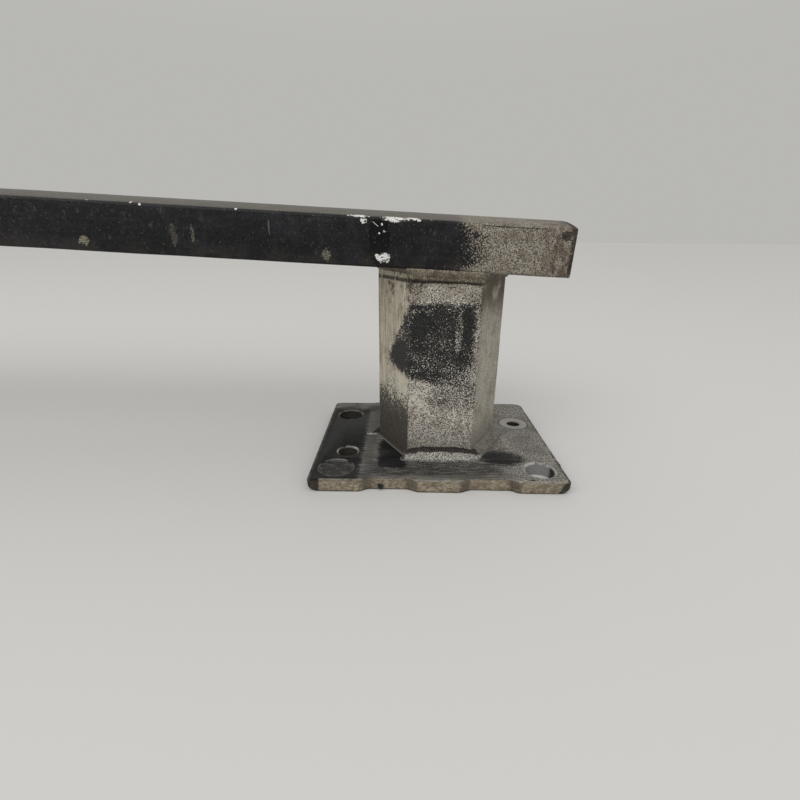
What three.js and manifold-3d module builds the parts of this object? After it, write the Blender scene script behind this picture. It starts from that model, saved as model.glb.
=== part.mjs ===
// Bumper reinforcement beam, standing on its two mounting plates.
//
// A bowed two-cell aluminium extrusion is welded onto two hexagonal crash cans, and each can is
// welded to a thick bolt-on plate. Millimetres. +X runs along the beam, +Z is up, -Y is the front.
// The origin is on the plane that the plates stand on, midway between them.

import * as THREE from 'three';
import { mergeVertices } from 'three/addons/utils/BufferGeometryUtils.js';
import Module from 'manifold-3d';

const wasm = await Module();
wasm.setup();

const { degToRad } = THREE.MathUtils;

// Layout
const footSpacing = 968; // between the centres of the two mounting plates
const fitGap = 0.3; // left between two pieces that touch
const canOffsetOut = 2.4; // can's axis from the plate's centre, towards the beam's end
const canOffsetBack = 2.1; // can's axis from the plate's centre, towards the back

// Beam
const beamWidth = 83; // front face to back face
const beamSideHeight = 28.5; // underside to the edge of the crowned face
const crownRise = 4.8; // middle of the crowned face above its edges
const beamCornerRadius = 2;
const beamWall = 3;
const beamWebThickness = 2.5;
const beamOverhang = 76.3; // plate's centre to the beam's end, at the underside
const beamEndHeight = 132.6; // underside of the beam at its end
const endSlope = degToRad(2.55); // fall of the straight ends towards the tips
const straightLength = 335; // straight stretch at each end
const bowSteps = 12; // flats in the curved middle

// Crash can, a regular hexagon with two of its facets facing front and back
const beamShelf = 3.05; // beam's overhang past the can's front and back facets
const canWall = 3;
const canCornerRadius = 2.5;
const canInnerRadius = 1;

// Mounting plate
const plateWidth = 170; // along X
const plateDepth = 138.7; // along Y
const plateThickness = 9;
const frontRecessDepth = 3.4;
const frontRecessRamp = 8.2; // length of the sloping end of a front recess
const frontRecesses = [
  { from: -52.8, to: -12.6 },
  { from: 13.4, to: 54.2 },
];
const backRecess = { fromInner: 11, length: 26, depth: 1.4, ramp: 4 };
const frontCornerCut = 1.5; // cut across a front corner, along each edge
const frontCornerRoll = 8.2; // the same at the underside, where the corner is rolled under
const innerBackCut = { along: 8, up: 5 };
const outerBackRadius = 7;

// Holes, from the plate's inner or outer edge, and from its front or back edge
const backInnerHole = { diameter: 19.8, fromInner: 16.3, fromBack: 29.4 };
const middleInnerHole = { diameter: 13.8, fromInner: 21.9, fromFront: 40.4 };
const pluggedHole = { diameter: 23.5, fromInner: 16.7, fromFront: 16.1 };
const backOuterHole = { diameter: 10.5, fromOuter: 16.6, fromBack: 45.3 };
const frontOuterHole = { diameter: 19, fromOuter: 16, fromFront: 15.4 };
const plugRecess = 0.8; // top of the plug below the top of the plate
const plugThickness = 7.4;

// Weld runs: reach along the plate or beam, rise along the can
const plateWelds = {
  front: { reach: 8.4, rise: 8 },
  outer_front: { reach: 7.5, rise: 7.5 },
  outer_back: { reach: 6.5, rise: 6.5 },
  back: { reach: 7, rise: 7 },
  inner_back: { reach: 5, rise: 5 },
  inner_front: { reach: 4, rise: 4 },
};
const beamWelds = {
  front: { reach: beamShelf, rise: 7.5 },
  outer_front: { reach: 4.5, rise: 5 },
  outer_back: { reach: 4.5, rise: 5 },
  back: { reach: beamShelf, rise: 7.5 },
  inner_back: { reach: 4, rise: 4 },
  inner_front: { reach: 4, rise: 4 },
};
const facetDirection = {
  outer_back: degToRad(30),
  back: degToRad(90),
  inner_back: degToRad(150),
  inner_front: degToRad(210),
  front: degToRad(270),
  outer_front: degToRad(330),
};

// Worked out from the sizes above
const footX = footSpacing / 2;
const halfHexTurn = degToRad(30);
const canAcrossFlats = beamWidth - 2 * beamShelf;
const canApothem = canAcrossFlats / 2;
const canSide = canAcrossFlats / Math.sqrt(3);

// Materials
const blackPaint = new THREE.MeshStandardMaterial({ color: 0x26282b, roughness: 0.45, metalness: 0.3 });
const canMetal = new THREE.MeshStandardMaterial({ color: 0x77756c, roughness: 0.6, metalness: 0.7 });
const plateMetal = new THREE.MeshStandardMaterial({ color: 0x55544f, roughness: 0.55, metalness: 0.7 });
const weldMetal = new THREE.MeshStandardMaterial({ color: 0x6b6459, roughness: 0.7, metalness: 0.6 });
const plugMetal = new THREE.MeshStandardMaterial({ color: 0x45423e, roughness: 0.8, metalness: 0.4 });

const part = new THREE.Group();
part.add(makeMesh('beam', beamGeometry(), blackPaint));
for (const side of ['right', 'left']) {
  part.add(makeFoot(side));
}

// One foot: plate, plug, can and weld runs. The left foot is the mirror image of the right one.
function makeFoot(side) {
  const isLeft = side === 'left';
  const foot = new THREE.Group();
  foot.position.x = isLeft ? -footX : footX;

  const place = (name, geometry, material) => {
    foot.add(makeMesh(`${name}_${side}`, isLeft ? mirrorX(geometry) : geometry, material.clone()));
  };
  place('mount_plate', plateGeometry(), plateMetal);
  place('hole_plug', plugGeometry(), plugMetal);
  place('crash_can', canGeometry(), canMetal);
  for (const [facet, size] of Object.entries(plateWelds)) {
    place(`plate_weld_${facet}`, plateWeldGeometry(facet, size), weldMetal);
  }
  for (const [facet, size] of Object.entries(beamWelds)) {
    place(`beam_weld_${facet}`, beamWeldGeometry(facet, size), weldMetal);
  }
  return foot;
}

// Beam: the outer bar, with one bar for each cell cut out of it from end to end.
function beamGeometry() {
  const cutPastEnd = 1;
  const [nearCell, farCell] = cellSections().map((cell) => toSolid(bowedBar(cell, cutPastEnd)));
  return toGeometry(toSolid(bowedBar(beamOutline(), 0)).subtract(nearCell).subtract(farCell));
}

// A bar of the given section laid along the bowed underside, and carried past both ends.
// It is extruded one unit per station, and each station then moves to its place on the bow.
function bowedBar(section, pastEnd) {
  const arcChord = footX + beamOverhang - straightLength * Math.cos(endSlope);
  const bowRadius = arcChord / Math.sin(endSlope);
  const bowLength = bowRadius * endSlope;
  const endStation = bowLength + straightLength + pastEnd;
  const middleHeight =
    beamEndHeight + straightLength * Math.sin(endSlope) + bowRadius * (1 - Math.cos(endSlope));

  const stations = [-endStation];
  for (let i = 0; i <= bowSteps; i++) {
    stations.push(bowLength * ((2 * i) / bowSteps - 1));
  }
  stations.push(endStation);

  const spans = stations.length - 1;
  return moveVertices(extrude(section, spans, spans), (across, up, station) => {
    const along = stations[Math.round(station)];
    const side = Math.sign(along);
    const turn = Math.min(Math.abs(along), bowLength) / bowRadius;
    const straight = Math.max(Math.abs(along) - bowLength, 0);
    const x = bowRadius * Math.sin(turn) + straight * Math.cos(turn) + up * Math.sin(turn);
    const drop = bowRadius * (1 - Math.cos(turn)) + straight * Math.sin(turn);
    return [side * x, canOffsetBack + across, middleHeight - drop + up * Math.cos(turn)];
  });
}

// The beam's crowned face: an arc that meets the rounded corners without a kink.
function crown() {
  const inset = beamWidth / 2 - beamCornerRadius;
  const cornerPathRadius = (inset * inset + crownRise * crownRise) / (2 * crownRise);
  const radius = cornerPathRadius + beamCornerRadius;
  return {
    radius,
    centre: beamSideHeight + crownRise - radius,
    halfAngle: Math.asin(inset / cornerPathRadius),
  };
}

// Outer outline of the beam's section: x is across the beam, y is up from its underside.
function beamOutline() {
  const { radius, centre, halfAngle } = crown();
  const r = beamCornerRadius;
  const inset = beamWidth / 2 - r;
  const shoulder = beamSideHeight - r;
  const quarter = Math.PI / 2;
  const outline = [
    ...arc(-inset, r, r, 2 * quarter, 3 * quarter, 3),
    ...arc(inset, r, r, 3 * quarter, 4 * quarter, 3),
    ...arc(inset, shoulder, r, 0, quarter - halfAngle, 3),
    ...arc(0, centre, radius, quarter - halfAngle, quarter + halfAngle, 10),
    ...arc(-inset, shoulder, r, quarter + halfAngle, 2 * quarter, 3),
  ];
  return new THREE.Shape(withoutRepeats(outline));
}

// Sections of the two cells, one each side of the web.
function cellSections() {
  const { radius, centre } = crown();
  const cellRadius = radius - beamWall;
  const webSide = beamWebThickness / 2;
  const wallSide = beamWidth / 2 - beamWall;
  const webAngle = Math.acos(webSide / cellRadius);
  const wallAngle = Math.acos(wallSide / cellRadius);
  const cell = [
    new THREE.Vector2(webSide, beamWall),
    new THREE.Vector2(wallSide, beamWall),
    ...arc(0, centre, cellRadius, wallAngle, webAngle, 5),
  ];
  const mirrored = cell.map((point) => new THREE.Vector2(-point.x, point.y)).reverse();
  return [new THREE.Shape(cell), new THREE.Shape(mirrored)];
}

// Height of the beam's underside over a foot, at x from the plate's centre.
function undersideHeight(x) {
  return beamEndHeight + (beamOverhang - x) * Math.tan(endSlope);
}

// Crash can: a hexagonal tube from the plate to the sloping underside of the beam.
function canGeometry() {
  const section = new THREE.Shape(hexagon(canApothem, canCornerRadius));
  section.holes.push(new THREE.Path(hexagon(canApothem - canWall, canInnerRadius)));
  return moveVertices(extrude(section, 1, 1), (x, y, end) => {
    const top = undersideHeight(canOffsetOut + x) - fitGap;
    const z = end > 0.5 ? top : plateThickness + fitGap;
    return [canOffsetOut + x, canOffsetBack + y, z];
  });
}

// Weld run on the plate along the foot of one facet.
function plateWeldGeometry(facet, size) {
  return moveVertices(weldBar(size), (out, rise, end) => {
    const [x, y] = alongFacet(facet, out, end > 0.5 ? -1 : 1);
    return [x, y, plateThickness + fitGap + rise];
  });
}

// Weld run under the beam along the head of one facet.
function beamWeldGeometry(facet, size) {
  return moveVertices(weldBar(size), (out, rise, end) => {
    const [x, y] = alongFacet(facet, out, end > 0.5 ? 1 : -1);
    return [x, y, undersideHeight(x) - fitGap - rise];
  });
}

// Fillet section of a weld run with a bulging face, extruded one unit.
function weldBar({ reach, rise }) {
  const faceSteps = 4;
  const bulge = 0.25;
  const blunt = 0.12; // share of each leg that is the run's blunt edge
  const section = [new THREE.Vector2(0, 0), new THREE.Vector2(reach, 0)];
  for (let i = 0; i <= faceSteps; i++) {
    const t = i / faceSteps;
    const swell = bulge * t * (1 - t) * 2;
    const across = 1 - t + swell;
    const up = blunt + (1 - blunt) * t + swell;
    section.push(new THREE.Vector2(reach * Math.min(across, 1), rise * Math.min(up, 1)));
  }
  return extrude(new THREE.Shape(withoutRepeats(section)), 1, 1);
}

// Point beside one end of a facet, set out from it, with ends mitred where two facets meet.
function alongFacet(facet, out, end) {
  const direction = facetDirection[facet];
  const distance = fitGap + out;
  const half = canSide / 2 + distance * Math.tan(halfHexTurn) - fitGap / 2;
  const outward = canApothem + distance;
  const x = canOffsetOut + outward * Math.cos(direction) - end * half * Math.sin(direction);
  const y = canOffsetBack + outward * Math.sin(direction) + end * half * Math.cos(direction);
  return [x, y];
}

// Mounting plate: scalloped outline with four open holes and the plugged one.
// The front corners are rolled under, from half the plate's thickness down.
function plateGeometry() {
  const plate = new THREE.Shape(plateOutline());
  for (const hole of [backInnerHole, middleInnerHole, pluggedHole, backOuterHole, frontOuterHole]) {
    const { x, y } = holeCentre(hole);
    plate.holes.push(new THREE.Path(circle(x, y, hole.diameter / 2)));
  }
  return moveVertices(extrude(plate, plateThickness, 2), rollUnder);
}

// Widens the cut across a front corner at the plate's underside.
function rollUnder(x, y, z) {
  const fromSide = plateWidth / 2 - Math.abs(x);
  const fromFront = plateDepth / 2 + y;
  const atUnderside = z < plateThickness / 4;
  const atCorner = fromSide + fromFront < frontCornerRoll / 2;
  if (!atUnderside || !atCorner) {
    return [x, y, z];
  }
  const growth = frontCornerRoll / frontCornerCut - 1;
  return [x - Math.sign(x) * fromSide * growth, y + fromFront * growth, z];
}

// Outline of the plate, anticlockwise from its inner front corner.
function plateOutline() {
  const edgeX = plateWidth / 2;
  const edgeY = plateDepth / 2;
  const at = (x, y) => new THREE.Vector2(x, y);
  const points = [at(-edgeX, -edgeY + frontCornerCut), at(-edgeX + frontCornerCut, -edgeY)];
  for (const { from, to } of frontRecesses) {
    points.push(at(from, -edgeY));
    points.push(at(from + frontRecessRamp, -edgeY + frontRecessDepth));
    points.push(at(to - frontRecessRamp, -edgeY + frontRecessDepth));
    points.push(at(to, -edgeY));
  }
  points.push(at(edgeX - frontCornerCut, -edgeY));
  points.push(at(edgeX, -edgeY + frontCornerCut));
  const r = outerBackRadius;
  points.push(...arc(edgeX - r, edgeY - r, r, 0, Math.PI / 2, 4));
  const recessEnd = -edgeX + backRecess.fromInner + backRecess.length;
  points.push(at(recessEnd, edgeY));
  points.push(at(recessEnd - backRecess.ramp, edgeY - backRecess.depth));
  points.push(at(-edgeX + backRecess.fromInner, edgeY - backRecess.depth));
  points.push(at(-edgeX + innerBackCut.along, edgeY - backRecess.depth));
  points.push(at(-edgeX, edgeY - innerBackCut.up));
  return points;
}

// Centre of a hole from the two edges that it is dimensioned from.
function holeCentre({ fromInner, fromOuter, fromFront, fromBack }) {
  const x = fromInner === undefined ? plateWidth / 2 - fromOuter : fromInner - plateWidth / 2;
  const y = fromFront === undefined ? plateDepth / 2 - fromBack : fromFront - plateDepth / 2;
  return { x, y };
}

// Plug: a disc a little below the plate's top, with the fit gap around it.
function plugGeometry() {
  const { x, y } = holeCentre(pluggedHole);
  const disc = new THREE.Shape(circle(x, y, pluggedHole.diameter / 2 - fitGap));
  const geometry = extrude(disc, plugThickness, 1);
  geometry.translate(0, 0, plateThickness - plugRecess - plugThickness);
  return geometry;
}

// Regular hexagon with rounded corners, two of them on the X axis.
function hexagon(apothem, cornerRadius) {
  const reach = (apothem - cornerRadius) / Math.cos(halfHexTurn);
  const points = [];
  for (let corner = 0; corner < 6; corner++) {
    const direction = 2 * corner * halfHexTurn;
    const x = reach * Math.cos(direction);
    const y = reach * Math.sin(direction);
    points.push(...arc(x, y, cornerRadius, direction - halfHexTurn, direction + halfHexTurn, 3));
  }
  return points;
}

function circle(x, y, radius) {
  const sides = 28;
  return arc(x, y, radius, 0, 2 * Math.PI * (1 - 1 / sides), sides - 1);
}

function arc(x, y, radius, from, to, steps) {
  const points = [];
  for (let i = 0; i <= steps; i++) {
    const angle = from + ((to - from) * i) / steps;
    points.push(new THREE.Vector2(x + radius * Math.cos(angle), y + radius * Math.sin(angle)));
  }
  return points;
}

// The points without those that fall on the one before, as where two arcs meet.
function withoutRepeats(points) {
  const closest = 0.001;
  return points.filter((point, i) => i === 0 || point.distanceTo(points[i - 1]) > closest);
}

function extrude(shape, depth, steps) {
  return new THREE.ExtrudeGeometry(shape, { depth, steps, bevelEnabled: false });
}

// Moves every vertex to the place that the function gives for it.
function moveVertices(geometry, place) {
  const position = geometry.getAttribute('position');
  for (let i = 0; i < position.count; i++) {
    position.setXYZ(i, ...place(position.getX(i), position.getY(i), position.getZ(i)));
  }
  geometry.computeVertexNormals();
  return geometry;
}

// Mirror image across the plane x = 0, with each triangle turned round to keep facing out.
function mirrorX(geometry) {
  const position = geometry.getAttribute('position');
  const corner = (i) => [-position.getX(i), position.getY(i), position.getZ(i)];
  for (let i = 0; i < position.count; i += 3) {
    const [first, second, third] = [corner(i), corner(i + 1), corner(i + 2)];
    position.setXYZ(i, ...first);
    position.setXYZ(i + 1, ...third);
    position.setXYZ(i + 2, ...second);
  }
  geometry.computeVertexNormals();
  return geometry;
}

// A closed geometry as a solid that can be cut.
function toSolid(geometry) {
  const bare = new THREE.BufferGeometry();
  bare.setAttribute('position', geometry.getAttribute('position'));
  const merged = mergeVertices(bare);
  return new wasm.Manifold(
    new wasm.Mesh({
      numProp: 3,
      vertProperties: merged.getAttribute('position').array,
      triVerts: new Uint32Array(merged.index.array),
    }),
  );
}

function toGeometry(solid) {
  const { numProp, vertProperties, triVerts } = solid.getMesh();
  const corners = [...triVerts].flatMap((v) => [...vertProperties.slice(numProp * v, numProp * v + 3)]);
  const geometry = new THREE.BufferGeometry();
  geometry.setAttribute('position', new THREE.Float32BufferAttribute(corners, 3));
  geometry.computeVertexNormals();
  return geometry;
}

function makeMesh(name, geometry, material) {
  const mesh = new THREE.Mesh(geometry, material);
  mesh.name = name;
  return mesh;
}

export default part;
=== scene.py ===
"""Looks of the bumper reinforcement beam: a worn black beam on two hexagonal crash cans and bolt-on plates.

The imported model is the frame. Every visible piece is built here in finer mesh than the CAD node that it
stands for, from the CAD boxes and the same driving sizes. Meshes are in metres; shaders work in millimetres.
`out` is measured from a plate's centre towards the beam's nearest end, so both feet share the materials.
"""

import math
import random
from functools import partial, reduce

import bmesh
import bpy
from mathutils import Matrix, Vector, noise
from mathutils.geometry import tessellate_polygon


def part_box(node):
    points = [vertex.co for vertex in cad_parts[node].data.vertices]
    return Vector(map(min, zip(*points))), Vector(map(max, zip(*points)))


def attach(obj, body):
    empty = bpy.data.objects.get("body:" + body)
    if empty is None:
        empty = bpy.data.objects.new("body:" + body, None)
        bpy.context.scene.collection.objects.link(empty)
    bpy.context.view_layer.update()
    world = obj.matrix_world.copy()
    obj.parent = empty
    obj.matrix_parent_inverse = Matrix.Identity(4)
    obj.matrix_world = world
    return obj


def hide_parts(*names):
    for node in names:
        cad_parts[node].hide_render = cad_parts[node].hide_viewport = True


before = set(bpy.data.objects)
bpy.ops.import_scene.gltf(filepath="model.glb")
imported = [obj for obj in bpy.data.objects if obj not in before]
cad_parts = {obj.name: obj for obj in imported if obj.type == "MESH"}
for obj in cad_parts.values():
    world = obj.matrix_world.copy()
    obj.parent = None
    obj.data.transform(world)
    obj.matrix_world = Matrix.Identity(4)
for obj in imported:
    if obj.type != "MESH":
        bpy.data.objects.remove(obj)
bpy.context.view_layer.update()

MM = 0.001
SIDES = ("right", "left")

# Sizes read from the frame
plate_low, plate_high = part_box("mount_plate_right")
can_low, can_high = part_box("crash_can_right")
beam_low, beam_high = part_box("beam")
FOOT_X = (plate_low[0] + plate_high[0]) / 2
PLATE_WIDTH = plate_high[0] - plate_low[0]
PLATE_DEPTH = plate_high[1] - plate_low[1]
PLATE_TOP = plate_high[2]
CAN_OUT = (can_low[0] + can_high[0]) / 2 - FOOT_X
CAN_Y = (can_low[1] + can_high[1]) / 2
CAN_APOTHEM = (can_high[1] - can_low[1]) / 2
CAN_SIDE = 2 * CAN_APOTHEM / math.sqrt(3)
BEAM_WIDTH = beam_high[1] - beam_low[1]

# Sizes repeated from the design
END_SLOPE = math.radians(2.55)
STRAIGHT_LENGTH = 0.335
BEAM_OVERHANG = 0.0763
BEAM_END_HEIGHT = 0.1326
BEAM_SIDE_HEIGHT = 0.0285
CROWN_RISE = 0.0048
BEAM_CORNER = 0.0018
BEAM_WALL = 0.003
BEAM_WEB = 0.0025
CAN_WALL = 0.003
CAN_CORNER = 0.0024
CAN_INNER_CORNER = 0.001
HEX_HALF_TURN = math.radians(30)
SHARP_ANGLE = math.radians(38)
FACETS = {
    "outer_back": 30,
    "back": 90,
    "inner_back": 150,
    "inner_front": 210,
    "front": 270,
    "outer_front": 330,
}


# ---- meshes

def add_object(name, data):
    item = bpy.data.objects.new(name, data)
    bpy.context.scene.collection.objects.link(item)
    return item


def make_piece(name, vertices, faces, material, node=None):
    """A mesh that rides on the part and hides the CAD node that it stands for, if any."""
    mesh = bpy.data.meshes.new(name)
    mesh.from_pydata([tuple(v) for v in vertices], [], faces)
    mesh.validate()
    cleaned = bmesh.new()
    cleaned.from_mesh(mesh)
    bmesh.ops.recalc_face_normals(cleaned, faces=cleaned.faces)
    cleaned.to_mesh(mesh)
    cleaned.free()
    mesh.materials.append(material)
    mesh.shade_smooth()
    mesh.set_sharp_from_angle(angle=SHARP_ANGLE)
    piece = add_object(name, mesh)
    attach(piece, "root")
    if node:
        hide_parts(node)


def spaced(start, end, steps):
    """Evenly spaced values from start to end, with both of them."""
    return [start + (end - start) * i / steps for i in range(steps + 1)]


def arc(x, y, radius, start, end, steps):
    """Points along an arc, angles in radians."""
    angles = spaced(start, end, steps)
    return [(x + radius * math.cos(angle), y + radius * math.sin(angle)) for angle in angles]


def circle(x, y, radius, sides):
    """Points round a circle."""
    return arc(x, y, radius, 0, 2 * math.pi * (1 - 1 / sides), sides - 1)


def add_ring_quads(faces, first, second, count):
    """Quads between two rings of `count` vertices that start at the given indices."""
    for i in range(count):
        j = (i + 1) % count
        faces.append((first + i, first + j, second + j, second + i))


def add_rings(vertices, faces, rings, closed=False):
    """Adds rings of points joined in order, and returns the first index of each."""
    starts = []
    for ring in rings:
        starts.append(len(vertices))
        vertices.extend(ring)
    for first, second in zip(starts, starts[1:]):
        add_ring_quads(faces, first, second, len(rings[0]))
    if closed:
        add_ring_quads(faces, starts[-1], starts[0], len(rings[0]))
    return starts


def add_solid(vertices, faces, rings):
    """Adds rings of points joined in order, with one face over each end."""
    starts = add_rings(vertices, faces, rings)
    for start in (starts[0], starts[-1]):
        faces.append(tuple(range(start, start + len(rings[0]))))


def add_sleeve(vertices, faces, rings, ends):
    """Adds rings of points joined in order, and notes the first and the last as loops for caps."""
    starts = add_rings(vertices, faces, rings)
    for loops, start in zip(ends, (starts[0], starts[-1])):
        loops.append(list(range(start, start + len(rings[0]))))


def add_cap(vertices, faces, loops):
    """Fills the flat area inside the first loop and outside the others, each a list of vertex indices."""
    flat = [[Vector(vertices[i]) for i in loop] for loop in loops]
    order = [i for loop in loops for i in loop]
    for triangle in tessellate_polygon(flat):
        faces.append(tuple(order[corner] for corner in triangle))


def wobble(point, size, seed=0):
    """Smooth noise from -1 to 1 at a point, with lumps of about `size`."""
    x, y, z = point
    return noise.noise(Vector((x / size + seed, y / size + 1.7 * seed, z / size - 2.3 * seed)))


def foot_point(side, out, y, z):
    """A point given from the centre of a foot's plate, `out` towards the beam's end on that side."""
    sign = 1 if side == "right" else -1
    return (sign * (FOOT_X + out), y, z)


# ---- beam

def underside(out):
    """Height of the beam's underside over a foot."""
    return BEAM_END_HEIGHT + (BEAM_OVERHANG - out) * math.tan(END_SLOPE)


BOW_CHORD = FOOT_X + BEAM_OVERHANG - STRAIGHT_LENGTH * math.cos(END_SLOPE)
BOW_RADIUS = BOW_CHORD / math.sin(END_SLOPE)
BOW_LENGTH = BOW_RADIUS * END_SLOPE
BOW_DROP = BOW_RADIUS * (1 - math.cos(END_SLOPE))
BEAM_HALF_LENGTH = BOW_LENGTH + STRAIGHT_LENGTH
BEAM_MIDDLE = BEAM_END_HEIGHT + STRAIGHT_LENGTH * math.sin(END_SLOPE) + BOW_DROP


def on_bow(along, across, up):
    """Point at a length along the beam's underside from its middle, across it and up from it."""
    turn = min(abs(along), BOW_LENGTH) / BOW_RADIUS
    straight = max(abs(along) - BOW_LENGTH, 0)
    x = BOW_RADIUS * math.sin(turn) + straight * math.cos(turn) + up * math.sin(turn)
    drop = BOW_RADIUS * (1 - math.cos(turn)) + straight * math.sin(turn)
    return (math.copysign(x, along), CAN_Y + across, BEAM_MIDDLE - drop + up * math.cos(turn))


def crown():
    """Radius, centre height and half angle of the crowned face."""
    inset = BEAM_WIDTH / 2 - BEAM_CORNER
    path_radius = (inset ** 2 + CROWN_RISE ** 2) / (2 * CROWN_RISE)
    radius = path_radius + BEAM_CORNER
    return radius, BEAM_SIDE_HEIGHT + CROWN_RISE - radius, math.asin(inset / path_radius)


def beam_outline(shrink):
    """Outer section of the beam, anticlockwise, pulled in by `shrink`."""
    radius, centre, half = crown()
    r = BEAM_CORNER
    inset = BEAM_WIDTH / 2 - r
    shoulder = BEAM_SIDE_HEIGHT - r
    quarter = math.pi / 2
    corner = r - shrink
    points = arc(-inset, r, corner, 2 * quarter, 3 * quarter, 5)
    points += arc(inset, r, corner, 3 * quarter, 4 * quarter, 5)
    points += arc(inset, shoulder, corner, 0, quarter - half, 5)
    points += arc(0, centre, radius - shrink, quarter - half, quarter + half, 20)[1:-1]
    points += arc(-inset, shoulder, corner, quarter + half, 2 * quarter, 5)
    return points


def cell_outline(sign, grow):
    """Section of one of the beam's two cells, made wider all round by `grow`."""
    radius, centre, _ = crown()
    top = radius - BEAM_WALL + grow
    fillet = 0.001
    web = BEAM_WEB / 2 - grow
    wall = BEAM_WIDTH / 2 - BEAM_WALL + grow
    floor = BEAM_WALL - grow
    quarter = math.pi / 2
    web_angle = math.acos((web + fillet) / top)
    wall_angle = math.acos((wall - fillet) / top)
    points = arc(web + fillet, floor + fillet, fillet, 2 * quarter, 3 * quarter, 3)
    points += arc(wall - fillet, floor + fillet, fillet, 3 * quarter, 4 * quarter, 3)
    points += [(wall, centre + top * math.sin(wall_angle) - fillet)]
    points += arc(0, centre, top, wall_angle, web_angle, 10)
    points += [(web, centre + top * math.sin(web_angle) - fillet)]
    return [(sign * x, y) for x, y in points]


def build_beam(material):
    """The bowed extrusion, with broken edges at its cut ends and both cells open."""
    spacing = 0.004
    edge = 0.0005
    edge_middle = 0.3 * edge
    half = BEAM_HALF_LENGTH
    stations = [(-half, edge), (-half + edge_middle, edge_middle)]
    stations += [(along, 0) for along in spaced(edge - half, half - edge, round(2 * half / spacing))]
    stations += [(half - edge_middle, edge_middle), (half, edge)]

    def ring(outline, along):
        points = []
        for across, up in outline:
            unevenness = 0.00012 * wobble((along, across, up), 0.03)
            points.append(on_bow(along, across + unevenness, up + unevenness))
        return points

    vertices, faces = [], []
    ends = [[], []]
    for skin in (beam_outline, partial(cell_outline, 1), partial(cell_outline, -1)):
        rings = [ring(skin(shrink), along) for along, shrink in stations]
        add_sleeve(vertices, faces, rings, ends)
    for loops in ends:
        add_cap(vertices, faces, loops)
    make_piece("beam_skin", vertices, faces, material, "beam")


# ---- crash cans

def hexagon(apothem, corner_radius, corner_steps, flat_steps):
    """Regular hexagon with rounded corners, two of them on the X axis, with points along its flats."""
    reach = (apothem - corner_radius) / math.cos(HEX_HALF_TURN)
    corners = []
    for k in range(6):
        direction = 2 * k * HEX_HALF_TURN
        centre = (reach * math.cos(direction), reach * math.sin(direction))
        start, end = direction - HEX_HALF_TURN, direction + HEX_HALF_TURN
        corners.append(arc(*centre, corner_radius, start, end, corner_steps))
    points = []
    for k, corner in enumerate(corners):
        (x, y), (next_x, next_y) = corner[-1], corners[(k + 1) % 6][0]
        flat = zip(spaced(x, next_x, flat_steps), spaced(y, next_y, flat_steps))
        points += corner + list(flat)[1:-1]
    return points


def build_can(side, material):
    """Hexagonal tube from the plate up to the sloping underside of the beam."""
    rows = 40
    corner_steps, flat_steps = 5, 8
    sink = 0.0002
    lump_size, lump_share = 0.045, 0.004
    seed = SIDES.index(side) * 5
    outer = hexagon(CAN_APOTHEM, CAN_CORNER, corner_steps, flat_steps)
    inner = hexagon(CAN_APOTHEM - CAN_WALL, CAN_INNER_CORNER, corner_steps, flat_steps)

    def ring(outline, share):
        points = []
        for x, y in outline:
            out = CAN_OUT + x
            top = underside(out) + sink
            z = PLATE_TOP - sink + (top - PLATE_TOP + sink) * share
            bulge = 1 + lump_share * wobble((out, y, z), lump_size, seed)
            points.append(foot_point(side, CAN_OUT + x * bulge, CAN_Y + y * bulge, z))
        return points

    shares = spaced(0, 1, rows)
    rings = [ring(outer, share) for share in shares] + [ring(inner, share) for share in reversed(shares)]
    vertices, faces = [], []
    add_rings(vertices, faces, rings, closed=True)
    make_piece(f"can_skin_{side}", vertices, faces, material, f"crash_can_{side}")


# ---- mounting plates

# Holes as (out, y, radius, width of the broken edge round the mouth), from the plate's centre
HOLES = {
    "inner_back": (-0.0687, 0.03995, 0.0099, 0.0013),
    "inner_middle": (-0.0631, -0.02895, 0.0069, 0.0012),
    "plugged": (-0.0683, -0.05325, 0.01175, 0.0007),
    "outer_back": (0.0684, 0.02405, 0.00525, 0.0004),
    "outer_front": (0.069, -0.05395, 0.0095, 0.0013),
}
FRONT_RECESSES = ((-0.0528, -0.0126), (0.0134, 0.0542))
FRONT_RECESS_DEPTH = 0.0034
FRONT_RECESS_RAMP = 0.0085
BACK_RECESS_RAMP = (-0.052, -0.047)
BACK_RECESS_DEPTH = 0.0014
CORNER_CUT = 0.0013
CORNER_ROLL = 0.008
BACK_CORNER = 0.007
BACK_INNER_CUT = ((0.008, 0), (0.003, 0.0022), (0.0006, 0.0038), (0, 0.0062))
BACK_OUTER_FLAT = 0.012
BURR_Y = -0.0462
BURR = 0.0006
BURR_PROFILE = ((0, -0.0004), (1, 0), (0.6, 0.0022), (0, 0.0062))


def soft_step(value, low, high):
    """0 below low, 1 above high, smooth between."""
    share = min(max((value - low) / (high - low), 0), 1)
    return share * share * (3 - 2 * share)


def front_edge(x):
    """Y of the scalloped front edge."""
    recess = 0
    for start, end in FRONT_RECESSES:
        rise = soft_step(x, start, start + FRONT_RECESS_RAMP)
        fall = 1 - soft_step(x, end - FRONT_RECESS_RAMP, end)
        recess = max(recess, min(rise, fall))
    return -PLATE_DEPTH / 2 + FRONT_RECESS_DEPTH * recess


def back_edge(x):
    """Y of the back edge, which has one shallow recess near its inner end."""
    return PLATE_DEPTH / 2 - BACK_RECESS_DEPTH * (1 - soft_step(x, *BACK_RECESS_RAMP))


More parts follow.
